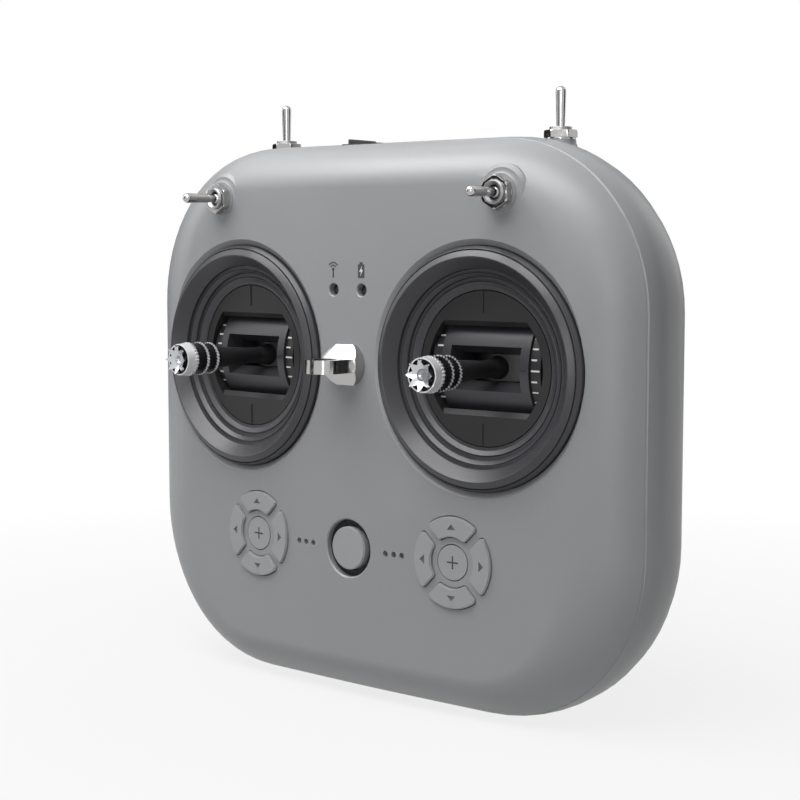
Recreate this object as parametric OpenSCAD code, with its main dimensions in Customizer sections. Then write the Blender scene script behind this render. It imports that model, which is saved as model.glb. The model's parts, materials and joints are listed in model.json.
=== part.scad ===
// Handheld radio transmitter for remote control models: a pillow-shaped two-part shell with
// two gimbals, four toggle switches, two trim pads, a power button, a lanyard hook and the
// electronics inside. It stands on a flat on its lower edge.
// +Z is up, +X is to the right, and the face with the sticks looks towards -Y.
// The origin is the middle of the flat that the body stands on.

/* [Body] */
// Width of the body at the seam
body_w = 173.2; // [150:0.2:210]
// Height of the body from its standing flat to the top
body_h = 150.3; // [140:0.5:185]
// Depth of the body from the middle of the face to the back
body_d = 45; // [44:0.5:60]
// Distance from the face to the origin, which is the middle of the standing flat
front_d = 20; // [18:0.5:24]
// Corner radius of the two upper corners, seen from the front
top_corner_r = 45; // [35:0.5:55]
// Corner radius of the two lower corners, seen from the front
bottom_corner_r = 47; // [35:0.5:55]
// Width of the rounding along the top and the bottom of the face
front_round_w = 12.5; // [8:0.5:20]
// Width of the rounding along the two sides of the face
side_round_w = 21; // [10:0.5:24]
// Depth of the rounding round the face
front_round_d = 19.2; // [14:0.2:20]
// Width of the rounding round the back
back_round_w = 22; // [12:0.5:28]
// Depth of the rounding round the back
back_round_d = 24; // [12:0.5:25]
// Slope of the two halves of the face away from the middle line
face_slope = 0.0594; // [0:0.005:0.12]
// Half width of the blend between the two halves of the face
face_blend = 15; // [5:1:40]
// How much the lower edge is cut flat to stand on
foot_cut = 0.6; // [0.4:0.1:1.2]
// Wall thickness of both shells
wall = 2.4; // [1.8:0.1:3.2]
// Depth of the parting line behind the face
seam_d = 13.8; // [12.8:0.1:14.8]
// Length of the lip of the rear shell inside the front shell
lap_l = 2; // [1:0.25:3]

/* [Gimbals] */
// Distance of each gimbal from the middle line
gimbal_x = 42; // [40:0.5:46]
// Height of the gimbals
gimbal_z = 91.3; // [88:0.5:96]
// Outer radius of the bezel
bezel_r = 31.2; // [30:0.2:33]
// Radius of the round opening at the bottom of the bezel's dish
dish_r = 20.1; // [19.5:0.1:21]
// Height of the bezel's crest above the face
crest_h = 2.4; // [1:0.1:3.5]
// Depth of the drum axis behind the face
axis_d = 21.8; // [20.8:0.1:22.4]
// Outer radius of the drum
drum_r = 18; // [17:0.1:18.4]
// Length of the drum between the cheeks
drum_l = 26.6; // [26:0.2:28]
// Width of the slot in the drum
slot_w = 21.4; // [20:0.2:22.4]
// Height of the slot in the drum
slot_h = 11.4; // [9:0.2:12]
// Radius of the stick at the slot
stick_r = 2.2; // [1.8:0.1:2.4]
// Distance from the drum axis to the top of the stick
stick_l = 46.2; // [40:0.2:56]

/* [Switches] */
// Distance of the two front switches from the middle line
front_switch_x = 49.4; // [44:0.2:52]
// Height of the two front switches
front_switch_z = 135.6; // [133:0.2:137]
// Distance of the two top switches from the middle line
top_switch_x = 49.1; // [44:0.2:52]
// Depth of the two top switches behind the face
top_switch_d = 27.9; // [26:0.1:29]
// Size of the switch nuts across their flats
switch_nut_af = 7.6; // [7:0.1:9]
// Length of a switch lever outside its bush
lever_l = 10.4; // [8:0.1:13]
// Radius of the threaded bush
bush_r = 2.8; // [2.6:0.1:3.2]

/* [Trims and buttons] */
// Distance of each trim pad from the middle line
trim_x = 35.1; // [33:0.2:40]
// Height of the trim pads
trim_z = 41.3; // [38:0.2:44]
// Outer radius of a trim pad
trim_r = 12; // [11:0.1:13]
// Inner radius of the trim keys
key_inner_r = 6.7; // [6:0.1:7.5]
// Radius of the middle cap of a trim pad
cap_r = 4.6; // [3.8:0.1:5.2]
// Width of the straight channel between two trim keys
channel_w = 2.2; // [1.4:0.1:3]
// Radius of the rounded corners of the trim keys
key_corner_r = 0.9; // [0.4:0.1:1.2]
// Height of the trim keys above the face
key_h = 0.8; // [0.4:0.1:1.2]
// Radius of the round recess of the power button
power_r = 7.8; // [7:0.1:9]
// Radius of the power button
button_r = 5.85; // [5:0.05:6.4]
// Height of the power button and of the dots beside it
power_z = 41.2; // [38:0.5:44]
// Travel of the trim keys and of the power button
key_travel = 0.8; // [0.4:0.1:1]
// Clearance round every key and button
key_gap = 0.25; // [0.15:0.05:0.4]

/* [Hook, lamps and port] */
// Height of the lanyard hook
hook_z = 90.8; // [86:0.2:96]
// Radius of the round base of the hook
hook_base_r = 6.2; // [5.4:0.1:7]
// Distance of the eye's centre from the face
eye_d = 9.1; // [8.5:0.1:14]
// Outer radius of the eye
eye_r = 5; // [4.8:0.1:6]
// Radius of the hole in the eye
eye_hole_r = 3.1; // [3:0.05:3.4]
// Thickness of the eye
eye_t = 3.6; // [2.6:0.1:4]
// Distance of each lamp from the middle line
lamp_x = 5; // [4:0.5:8]
// Height of the two lamps
lamp_z = 110.7; // [108:0.5:114]
// Distance of the charging port from the middle line, to the left
port_x = 9; // [8:0.5:14]

/* [Electronics] */
// Width of the main board
board_w = 104; // [96:1:110]
// Height of the main board
board_h = 42; // [38:1:44]
// Thickness of the boards
board_t = 1.6; // [1:0.1:2]
// Width of the battery
battery_w = 76; // [60:1:80]
// Height of the battery
battery_h = 38; // [30:1:40]
// Thickness of the battery
battery_t = 16; // [12:0.5:17]

/* [Hidden] */

// resolution: round parts are exact, only the lofted shells have facets
round_fn = 64;
small_fn = 32;
corner_fn = 20;
corner_steps = 16;
round_steps = 8;
inner_round_steps = 5;
cap_scales = [0.12, 0.3, 0.55, 0.8];
eps = 0.01;

// body
half_w = body_w / 2;
low_z = -foot_cut;
back_start = body_d - back_round_d;
parting_gap = 0.3;
// the lip of the rear shell: how far inside the seam it stands, its clearance and thickness
lip_in = wall - 0.2;
lap_clear = 0.1;
lip_t = wall / 2;

// colours
shell_c = [0.60, 0.61, 0.62];
charcoal_c = [0.20, 0.20, 0.22];
dark_c = [0.13, 0.13, 0.14];
chrome_c = [0.80, 0.81, 0.83];
steel_c = [0.62, 0.63, 0.65];
board_c = [0.10, 0.33, 0.20];

// gimbal stack, as heights above the face along each gimbal's own axis
flange_h = -3.2;
dish_floor_h = -6;
plate_face_h = -4;
plate_lip_h = -5.4;
plate_back_h = -7.6;
frame_back_h = -10.6;
plug_r = bezel_r - 2.2;
seat_gap = 0.2;
seat_back_h = -4.6;
seat_outer_r = bezel_r + 2.2;
seat_flare = 3.2;
window_r = dish_r - 2.6;
window_top = window_r - 5.4;
window_low = window_top - 1.3;
plate_r = (dish_r + plug_r) / 2;
plate_pocket = 13;
cheek_gap = 0.3;
cheek_t = 2.9;
cheek_r = drum_r - 0.6;
drum_wall = 2.7;
drum_open_s = -5;
drum_cut_s = -9;
axle_r = 3;
run_gap = 0.05;
// the slot narrows towards a throat, behind which the carrier turns
slot_depth = 6;
throat_s = min(drum_r - slot_depth, drum_l / 2 - 1.4);
throat_half_h = 3.6;
carrier_r = throat_s - 0.1;
carrier_h = 6.9;
drum_end_t = drum_l / 2 - carrier_r - 0.2;
pivot_r = 2;
frame_r = bezel_r - 0.7;
frame_ear_r = bezel_r + 3.3;
screw_r = 1.2;
boss_r = 3;

// stick, as distances from the drum axis
boot_r = 3.3;
boot_l = 16;
sleeve_s = stick_l - 14.2;
sleeve_r = 3.4;
ring_s = [stick_l - 12.3, stick_l - 8.6];
ring_l = 0.8;
ring_r = [4.35, 4.6];
collar_s = stick_l - 5.1;
collar_l = 3.5;
collar_r = 4.65;
collar_front_r = 4.3;
collar_wall = 0.35;
tooth_l = 0.9;
crown_s = collar_s + collar_l - 1.1;
tip_r = 4.1;
tip_teeth = 8;
collar_teeth = 30;

// switches
washer_t = 0.5;
washer_r = bush_r + 1.1;
nut_t = 2;
bush_end_l = 0.8;
pad_r = bush_r + 1.9;
pad_h = 0.6;
pad_flare = 1.5;
pad_edge = 0.2;
pad_toe = 1;
bush_gap = 0.1;
lever_tip_r = 1.35;
lever_base_r = 1.05;
lever_pivot = 2;
switch_bore_r = 1.9;
switch_mouth_r = 2.5;
switch_mouth_l = 0.8;
lever_tail = 3;
switch_body = [8, 13, 9];
front_switch_back = -wall - 4.8;
top_switch_back = -wall - 6.6;

// keys
key_flange = 0.8;
key_flange_t = 0.8;
board_d = 11.5;
tact = [6, 6, 3.5];

// Depth of the face behind its middle line at the distance x
function face_depth(x) = face_slope * (sqrt(x * x + face_blend * face_blend) - face_blend);
function face_tilt(x) = atan(face_slope * x / sqrt(x * x + face_blend * face_blend));
function face_y(x) = face_depth(x) - front_d;

// Places its children on the face, with their own +Z pointing out of it
module on_face(x, z) {
    translate([x, face_y(x), z]) rotate([0, 0, face_tilt(x)]) rotate([90, 0, 0]) children();
}

// Places its children on a gimbal, side -1 on the left and 1 on the right
module on_gimbal(side) { on_face(side * gimbal_x, gimbal_z) children(); }

// ---- lofted body ---------------------------------------------------------------------------
// Centres, radii and first angles of the four corners, as [x, z, radius, angle]
corners = [
    [half_w - top_corner_r, body_h - top_corner_r, top_corner_r, 0],
    [-(half_w - top_corner_r), body_h - top_corner_r, top_corner_r, 90],
    [-(half_w - bottom_corner_r), low_z + bottom_corner_r, bottom_corner_r, 180],
    [half_w - bottom_corner_r, low_z + bottom_corner_r, bottom_corner_r, 270]];

// Shares of half a straight edge at which the top and the bottom carry extra points
edge_shares = [0.8, 0.55, 0.35, 0.17, 0, -0.17, -0.35, -0.55, -0.8];

// Outline points of the body as [x, z, normal x, normal z], from the right over the top
function corner_points(c, steps) = [for (k = [0:steps])
    let(a = c[3] + 90 * k / steps)
    [c[0] + c[2] * cos(a), c[1] + c[2] * sin(a), cos(a), sin(a)]];
function edge_points(z, end_x, way) = [for (share = edge_shares) [share * end_x, z, 0, way]];
function outline(steps) = concat(
    corner_points(corners[0], steps),
    edge_points(body_h, corners[0][0], 1),
    corner_points(corners[1], steps),
    corner_points(corners[2], steps),
    edge_points(low_z, corners[2][0], -1),
    corner_points(corners[3], steps));

// Width of the rounding at an outline point: wider where the outline faces sideways
function round_w(p) = front_round_w + (side_round_w - front_round_w) * p[2] * p[2];

// A point at a distance inside the outline and at a depth behind the face, above the flat
function body_point(p, inset, depth, floor_z = 0) =
    [p[0] - inset * p[2], depth - front_d, max(p[1] - inset * p[3], floor_z)];

// Front rounding of a skin that lies inside the outer one: a runs from 0 on the face to 90
function front_inset(p, a, skin) = skin + round_w(p) * (1 - sin(a));
function front_depth(p, a, skin) =
    let(full = front_round_d - skin, d = full * (1 - cos(a)),
        x = p[0] - front_inset(p, a, skin) * p[2])
    skin + d + face_depth(x) * (1 - d / full);
function front_point(p, a, skin) =
    body_point(p, front_inset(p, a, skin), front_depth(p, a, skin), skin);

// Angle at which the front rounding reaches a depth
function angle_at(p, depth, skin) =
    let(full = front_round_d - skin, b = face_depth(p[0] - skin * p[2]),
        d = (depth - skin - b) / (1 - b / full))
    acos(max(0, 1 - d / full));

// Back rounding: a runs from 0 on the side wall to 90 on the back
function back_point(p, a, skin) = body_point(p,
    skin + back_round_w * (1 - cos(a)),
    back_start + (back_round_d - skin) * sin(a), skin);

// Ring of the face at a share of its size, curved like the face
mid_z = body_h / 2;
function face_ring(points, share, skin) = [for (p = points)
    let(q = front_point(p, 0, skin))
    [q[0] * share, face_y(q[0] * share) + skin, mid_z + (q[2] - mid_z) * share]];
function face_tip(skin) = [0, skin - front_d, mid_z];

// Rings from the face back to a depth
function front_rings(points, skin, depth, steps) = concat(
    [for (share = cap_scales) face_ring(points, share, skin)],
    [for (k = [0:steps]) [for (p = points)
        front_point(p, angle_at(p, depth, skin) * k / steps, skin)]]);
// Ring at the parting line, moved inwards
function seam_ring(points, depth, inside) = [for (p = points)
    body_point(p, front_inset(p, angle_at(p, seam_d, 0), 0) + inside, depth, max(0, inside))];

// Closed solid through a stack of rings of equal length, from a tip point or a flat first ring
module loft(rings, tip = undef) {
    n = len(rings[0]);
    last = len(rings) - 1;
    points = concat([for (ring = rings) for (q = ring) q], is_undef(tip) ? [] : [tip]);
    sides = [for (i = [0:last - 1]) for (j = [0:n - 1])
        let(a = i * n + j, b = i * n + (j + 1) % n)
        each [[a, b, b + n], [a, b + n, a + n]]];
    first = is_undef(tip) ? [[for (j = [n - 1:-1:0]) j]]
        : [for (j = [0:n - 1]) [n * (last + 1), (j + 1) % n, j]];
    polyhedron(concat(points), concat(sides, first, [[for (j = [0:n - 1]) last * n + j]]));
}

module front_skin() {
    points = outline(corner_steps);
    loft(concat(front_rings(points, 0, seam_d - parting_gap, round_steps),
        [seam_ring(points, seam_d, parting_gap)]), face_tip(0));
}
module front_cavity() {
    points = outline(corner_steps);
    loft(concat(front_rings(points, wall, seam_d - lap_l, inner_round_steps),
        [seam_ring(points, seam_d - lap_l, lip_in), seam_ring(points, seam_d + 1, lip_in)]),
        face_tip(wall));
}
module rear_skin() {
    points = outline(corner_steps);
    lip = lip_in + lap_clear;
    loft(concat(
        [seam_ring(points, seam_d - lap_l + lap_clear, lip), seam_ring(points, seam_d, lip),
            seam_ring(points, seam_d, parting_gap)],
        [for (k = [0:2]) [for (p = points)
            let(from = angle_at(p, seam_d + parting_gap, 0))
            front_point(p, from + (90 - from) * k / 2, 0)]],
        [for (k = [0:round_steps]) [for (p = points) back_point(p, 90 * k / round_steps, 0)]]));
}
module rear_cavity() {
    points = outline(corner_steps);
    loft(concat(
        [for (depth = [seam_d - lap_l - 1, seam_d])
            seam_ring(points, depth, lip_in + lap_clear + lip_t)],
        [[for (p = points) body_point(p, wall, front_round_d, wall)]],
        [for (k = [0:inner_round_steps]) [for (p = points)
            back_point(p, 90 * k / inner_round_steps, wall)]]));
}

// ---- small helpers ------------------------------------------------------------------------
// Round bar between two heights
module bar(r, low, high, fn = round_fn) {
    translate([0, 0, low]) cylinder(r = r, h = high - low, $fn = fn);
}
// Tube between two heights
module tube(r_out, r_in, low, high) {
    difference() {
        bar(r_out, low, high);
        bar(r_in, low - 1, high + 1);
    }
}
// Block centred on X and Y, between two heights
module block(w, l, low, high) {
    translate([-w / 2, -l / 2, low]) cube([w, l, high - low]);
}
module hex_prism(af, low, high) {
    translate([0, 0, low]) cylinder(r = af / sqrt(3), h = high - low, $fn = 6);
}
module four(r, turn = 45) {
    for (k = [0:3]) rotate([0, 0, turn + 90 * k]) translate([r, 0, 0]) children();
}

// Round pad, its top at height 0, whose side runs out in a hollow flare above its foot
module flared_pad(r, flare, drop, foot) {
    toe_h = -pad_edge - drop - pad_toe;
    rotate_extrude($fn = round_fn) polygon(concat(
        [[0, min(toe_h, -foot)], [0, 0], [r, 0]],
        [for (a = [0:15:90]) [r + flare * (1 - cos(a)), -pad_edge - drop * sin(a)]],
        [[r + flare + pad_toe, toe_h], [r + flare + pad_toe, min(toe_h, -foot) - eps]]));
}

// ---- front shell --------------------------------------------------------------------------
side_screw_x = half_w - 15.6;
top_screw_z = body_h - 11.3;
case_screw_at = [[-50, 12], [50, 12], [-side_screw_x, 53], [side_screw_x, 53],
    [-20, top_screw_z], [20, top_screw_z]];
case_boss_r = 3.4;
board_post_x = board_w / 2 - 4;
board_post_at = [[-board_post_x, 28], [board_post_x, 28], [-18, 55], [18, 55]];
board_y = board_d - front_d;
inner_y = wall - front_d;
lamp_board_h = -6;
lamp_post_x = 9.5;
hook_stem_r = 2;
power_chamfer = 0.4;
hook_nut_af = 7;
hook_nut_t = 2.4;
radio_z = body_h - 23.3;
radio_post_x = 13;
radio_gap = 3;
radio_y = inner_y + radio_gap;
dot_at = [13.1, 15.9, 18.6];
dot_r = 0.8;
lamp_r = 1.5;
lamp_gap = 0.15;
lamp_post_r = 1.6;
radio_post_r = 1.5;

// Places its children behind the face on a level with the origin's axes, +Z pointing at the face
module behind(x, z, y) { translate([x, y, z]) rotate([90, 0, 0]) children(); }

// Places its children on the face over a lamp, square to the lamp board
module on_lamp(side) {
    on_face(0, lamp_z) translate([side * lamp_x, 0, -face_depth(lamp_x)]) children();
}

// Outline of one trim key with rounded corners, grown by a clearance; turn 0 is the upper key
module key_outline(turn, grow) {
    rotate(turn) offset(r = key_corner_r + grow, $fn = corner_fn) offset(delta = -key_corner_r)
    intersection() {
        difference() {
            circle(r = trim_r, $fn = round_fn);
            circle(r = key_inner_r, $fn = round_fn);
        }
        // a right-angled wedge, whose sides lie half a channel away from the diagonals
        translate([0, channel_w / sqrt(2)])
            polygon([[0, 0], [trim_r * 2, trim_r * 2], [-trim_r * 2, trim_r * 2]]);
    }
}

// Everything that stands inside the front shell, as far as its cavity reaches
module front_bosses() {
    for (side = [-1, 1]) on_gimbal(side) {
        bar(seat_outer_r, seat_back_h, 0);
        four(frame_ear_r) bar(boss_r, plate_back_h, 0, small_fn);
    }
    for (p = case_screw_at) behind(p[0], p[1], seam_d - front_d)
        bar(case_boss_r, 0, seam_d, small_fn);
    for (p = board_post_at) behind(p[0], p[1], board_y) bar(boss_r, 0, board_d, small_fn);
    for (side = [-1, 1]) on_face(0, lamp_z) translate([side * lamp_post_x, 0, 0])
        bar(lamp_post_r, lamp_board_h, 0, small_fn);
    for (x = [-radio_post_x, radio_post_x]) behind(x, radio_z, radio_y)
        bar(radio_post_r, 0, radio_gap + 1, small_fn);
    for (side = [-1, 1]) front_switch_frame(side) bar(pad_r, front_switch_back, 0);
}

module front_shell() color(shell_c) difference() {
    union() {
        front_skin();
        for (side = [-1, 1]) front_switch_frame(side)
            flared_pad(pad_r, pad_flare, pad_h - pad_edge + 0.1, 3);
    }
    difference() {
        front_cavity();
        front_bosses();
    }
    for (side = [-1, 1]) {
        on_gimbal(side) {
            bar(bezel_r + seat_gap, flange_h, 12);
            bar(plug_r + seat_gap, seat_back_h - 1, flange_h + 1);
            translate([0, 0, -1]) cylinder(r1 = bezel_r + seat_gap, r2 = bezel_r + seat_flare,
                h = 2, $fn = round_fn);
            four(frame_ear_r) bar(screw_r - 0.2, plate_back_h - 1, -3, small_fn);
        }
        front_switch_frame(side) bar(bush_r + bush_gap, front_switch_back - 1, 2, small_fn);
        on_face(side * trim_x, trim_z) {
            for (k = [0:3]) translate([0, 0, -6]) linear_extrude(12) key_outline(90 * k, key_gap);
            bar(cap_r + key_gap, -6, 6);
        }
        for (x = dot_at) on_face(side * x, power_z) bar(dot_r, -1.6, 2, small_fn);
        on_lamp(side) {
            bar(lamp_r + lamp_gap, lamp_board_h, 4, small_fn);
            translate([0, 0, -0.4]) cylinder(r1 = lamp_r, r2 = lamp_r + 0.7, h = 0.7,
                $fn = small_fn);
        }
    }
    on_face(0, power_z) {
        bar(power_r, -6, 4);
        translate([0, 0, -power_chamfer]) cylinder(r1 = power_r, r2 = power_r + 2 * power_chamfer,
            h = 2 * power_chamfer, $fn = round_fn);
    }
    on_face(0, hook_z) bar(hook_stem_r + 0.1, -6, 4, small_fn);
    // flat seats behind the face for the button ring and the hook nut
    on_face(0, power_z) bar(power_r + 1.4, -wall - 1.5, -wall + eps);
    on_face(0, hook_z) bar(hook_nut_af / 2 + 1, -wall - 3, -wall);
    for (p = case_screw_at) behind(p[0], p[1], seam_d - front_d) bar(screw_r - 0.2, -1, 7, small_fn);
    for (p = board_post_at) behind(p[0], p[1], board_y) bar(screw_r - 0.2, -1, 5, small_fn);
}

// ---- rear shell ---------------------------------------------------------------------------
top_switch_y = top_switch_d - front_d;
// Height of the top of the body over the top switches, before the corner rounds it down
top_pad_z = body_h - 0.7;
top_pad_r = bush_r + 1.2;
top_flare = 3.1;
port_w = 14;
port_l = 9;
port_t = 1;
socket_w = 9;
socket_l = 3.3;
rib_t = 2;
battery_back_d = body_d - 9;
battery_z = 13;
head_r = 2.2;
head_h = 1.6;
recess_r = 3.2;
recess_d = body_d - 5;

// Everything that stands inside the rear shell, as far as its cavity reaches
module rear_bosses() {
    for (p = case_screw_at) behind(p[0], p[1], body_d - front_d)
        bar(recess_r + 1.6, 0, body_d - seam_d, small_fn);
    // ribs that hold the battery
    for (x = [-battery_w / 2 + 6, 0, battery_w / 2 - 6])
        translate([x - rib_t / 2, battery_back_d - front_d, battery_z - 4])
            cube([rib_t, body_d - battery_back_d, battery_h + 8]);
    for (side = [-1, 1]) translate([side * top_switch_x, top_switch_y, 0])
        bar(top_pad_r, top_pad_z + top_switch_back, top_pad_z);
    // pocket under the port cover
    translate([-port_x, 0, 0]) block(port_w + 4, port_l + 3.4, body_h - 8, body_h);
}

module rear_shell() color(shell_c) difference() {
    union() {
        rear_skin();
        for (side = [-1, 1]) top_switch_frame(side)
            flared_pad(top_pad_r, top_flare, top_flare, 6);
    }
    difference() {
        rear_cavity();
        rear_bosses();
    }
    for (side = [-1, 1]) translate([side * top_switch_x, top_switch_y, 0]) {
        bar(bush_r + bush_gap, top_pad_z + top_switch_back - 1, top_pad_z + 3, small_fn);
        bar(top_pad_r, top_pad_z, top_pad_z + 3);
    }
    for (p = case_screw_at) behind(p[0], p[1], body_d - front_d) {
        bar(recess_r, -1, body_d - recess_d, small_fn);
        bar(screw_r + 0.2, -1, body_d - seam_d + 3, small_fn);
    }
    translate([-port_x, 0, 0]) {
        block(port_w + 0.3, port_l + 0.3, body_h - port_t, body_h + 3);
        block(socket_w + 0.3, socket_l + 0.3, body_h - 12, body_h + 3);
    }
}

// ---- gimbals ------------------------------------------------------------------------------
// Width of the bezel's dish, over which the steps of its section are shared out
dish_w = bezel_r - dish_r;
function dish_at(share) = dish_r + share * dish_w;
// Section of the bezel as [radius, height]: raised crest, dished cone and two stepped rings
crest_outer_r = bezel_r - 1.1;
crest_r = bezel_r - 2.7;
ledge_h = plate_face_h + 0.1;
bezel_section = [
    [bezel_r, flange_h], [bezel_r, -0.1],
    [crest_outer_r + 0.3, crest_h * 0.46], [crest_outer_r + 0.25, crest_h * 0.3],
    [crest_outer_r, crest_h * 0.3], [crest_outer_r, crest_h * 0.56],
    [crest_r, crest_h], [crest_r - 0.2, crest_h - 0.05],
    [dish_at(0.48), -0.9], [dish_at(0.47), -1.8], [dish_at(0.39), -1.8],
    [dish_at(0.38), -1.4], [dish_at(0.29), -2.5], [dish_at(0.28), -3.3],
    [dish_at(0.2), -3.3], [dish_at(0.18), -2.9], [dish_at(0.07), ledge_h],
    [dish_r, ledge_h], [dish_r, dish_floor_h], [plug_r, dish_floor_h], [plug_r, flange_h]];

module bezel(side) color(charcoal_c) on_gimbal(side)
    rotate_extrude($fn = round_fn) polygon(bezel_section);
module left_bezel() { bezel(-1); }
module right_bezel() { bezel(1); }

// Half outline of the window: a round opening with a flat top and bottom
module window(r, half_h) {
    intersection() {
        circle(r = r, $fn = round_fn);
        square([2 * r, 2 * half_h], center = true);
    }
}

index_w = 1.1;
index_l = 5.6;
index_at = dish_r - 3.2;
index_d = 0.2;
module faceplate(side) color(dark_c) on_gimbal(side) difference() {
    union() {
        bar(dish_r - 0.25, plate_back_h, plate_face_h);
        bar(plate_r, plate_back_h, dish_floor_h);
    }
    // index grooves above and below the window
    for (s = [-1, 1]) translate([-index_w / 2, s * index_at - index_l / 2,
        plate_face_h - index_d]) cube([index_w, index_l, 1]);
    translate([0, 0, plate_back_h - 1]) linear_extrude(plate_face_h - plate_back_h + 2)
        window(window_r, window_low);
    translate([0, 0, plate_back_h - 1]) linear_extrude(plate_lip_h - plate_back_h + 1)
        union() {
            window(window_r, plate_pocket);
            square([drum_l + 2 * cheek_gap, 2 * plate_pocket], center = true);
        }
    // sloping upper and lower walls of the window
    for (s = [-1, 1]) intersection() {
        bar(window_r, plate_lip_h, plate_face_h + 1);
        rotate([90, 0, 90]) linear_extrude(2 * window_r, center = true)
            polygon([[0, plate_lip_h], [s * window_low, plate_lip_h],
                [s * window_top, plate_face_h], [s * (window_top + 0.3), plate_face_h + 1],
                [0, plate_face_h + 1]]);
    }
}
module left_faceplate() { faceplate(-1); }
module right_faceplate() { faceplate(1); }

// Places its children on the drum axis, with +Z pointing at the face and +X along the axis
module on_axis(side) { on_gimbal(side) translate([0, 0, -axis_d]) children(); }
axle_l = drum_l / 2 + cheek_gap + cheek_t - 0.1;

module gimbal_frame(side) color(dark_c) on_axis(side) {
    face_s = axis_d + plate_back_h;
    back_s = axis_d + frame_back_h;
    difference() {
        union() {
            bar(frame_r, back_s, face_s);
            four(frame_ear_r) bar(boss_r + 1, back_s, face_s, small_fn);
            for (k = [0:3]) rotate([0, 0, 45 + 90 * k]) translate([frame_r - 4, -boss_r, back_s])
                cube([frame_ear_r - frame_r + 4, 2 * boss_r, face_s - back_s]);
            for (s = [-1, 1]) translate([s * spring_x, 0, 0]) for (z = [-1, 1])
                translate([0, z * spring_peg_z, 0]) bar(1, back_s - 4.5, back_s + 1, small_fn);
        }
        block(drum_l + 2 * cheek_gap, 2 * (drum_r - 2.2), back_s - 1, face_s + 1);
        four(frame_ear_r) bar(screw_r + 0.2, back_s - 1, face_s + 1, small_fn);
    }
    for (s = [-1, 1]) intersection() {
        difference() {
            translate([s > 0 ? drum_l / 2 + cheek_gap : -drum_l / 2 - cheek_gap - cheek_t, 0, 0])
                rotate([0, 90, 0]) cylinder(r = cheek_r, h = cheek_t, $fn = round_fn);
            rotate([0, 90, 0]) cylinder(r = axle_r + run_gap, h = 60, center = true, $fn = round_fn);
        }
        bar(window_r - 0.2, -cheek_r, cheek_r);
    }
}
spring_x = frame_r - 6.5;
spring_peg_z = 9;
module left_gimbal_frame() { gimbal_frame(-1); }
module right_gimbal_frame() { gimbal_frame(1); }

module drum(side) color(charcoal_c) on_axis(side) {
    difference() {
        rotate([0, 90, 0]) cylinder(r = drum_r, h = drum_l, center = true, $fn = round_fn);
        // hollow behind the throat of the slot
        intersection() {
            rotate([0, 90, 0]) cylinder(r = drum_r - drum_wall, h = drum_l - 2 * drum_end_t,
                center = true, $fn = round_fn);
            block(drum_l, 2 * drum_r, -drum_r, throat_s);
        }
        // slot, which narrows from the outside to the throat
        rotate([90, 0, 90]) linear_extrude(slot_w, center = true) polygon([
            [-throat_half_h, throat_s - 1], [throat_half_h, throat_s - 1],
            [throat_half_h, throat_s], [slot_h / 2, slot_edge_s], [slot_h / 2, drum_r + 1],
            [-slot_h / 2, drum_r + 1], [-slot_h / 2, slot_edge_s], [-throat_half_h, throat_s]]);
        block(drum_l - 2 * drum_end_t, 2 * drum_r + 2, -drum_r - 1, drum_open_s);
        rotate([90, 0, 0]) cylinder(r = pivot_r + run_gap, h = 2 * drum_r + 2, center = true,
            $fn = small_fn);
        block(drum_l + 2, 2 * drum_r + 2, -drum_r - 1, drum_cut_s);
        // index marks on both lips
        for (s = [-1, 1]) translate([s * (slot_w + drum_l) / 4, 0, 0])
            block(index_mark_l, index_mark_w, drum_r - index_d, drum_r + 1);
    }
    for (s = [0, 180]) rotate([0, 0, s]) translate([drum_l / 2 - 0.5, 0, 0]) rotate([0, 90, 0])
        cylinder(r = axle_r, h = axle_l - drum_l / 2 + 0.5, $fn = round_fn);
}
// height of the slot's outer edges above the axis
slot_edge_s = sqrt(drum_r * drum_r - slot_h * slot_h / 4) - 0.2;
index_mark_l = 1.6;
index_mark_w = 0.4;
module left_drum() { drum(-1); }
module right_drum() { drum(1); }

// Stick with the upright carrier that it turns with
module stick(side) color(dark_c) on_axis(side) {
    difference() {
        rotate([90, 0, 0]) cylinder(r = carrier_r, h = carrier_h, center = true, $fn = round_fn);
        block(2 * carrier_r + 2, carrier_h + 2, -carrier_r - 1, drum_open_s);
    }
    rotate([90, 0, 0]) cylinder(r = pivot_r, h = 2 * (drum_r - 0.8), center = true, $fn = small_fn);
    translate([0, 0, carrier_r - 1]) cylinder(r1 = boot_r, r2 = stick_r, h = boot_l - carrier_r + 1,
        $fn = round_fn);
    bar(stick_r, carrier_r, crown_s - 0.1);
    // the shaft widens again above the drum, up to the sleeve
    translate([0, 0, drum_r + 1.5]) cylinder(r1 = stick_r - eps, r2 = sleeve_r - 0.3,
        h = sleeve_s - drum_r - 1.5, $fn = round_fn);
}
module left_stick() { stick(-1); }
module right_stick() { stick(1); }

// Round disc with straight teeth round its edge
module knurl(r, low, high, teeth, depth) {
    translate([0, 0, low]) linear_extrude(high - low)
        polygon([for (k = [0:2 * teeth - 1]) let(a = 180 * k / teeth, q = r - depth * (k % 2))
            [q * cos(a), q * sin(a)]]);
}

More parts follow.
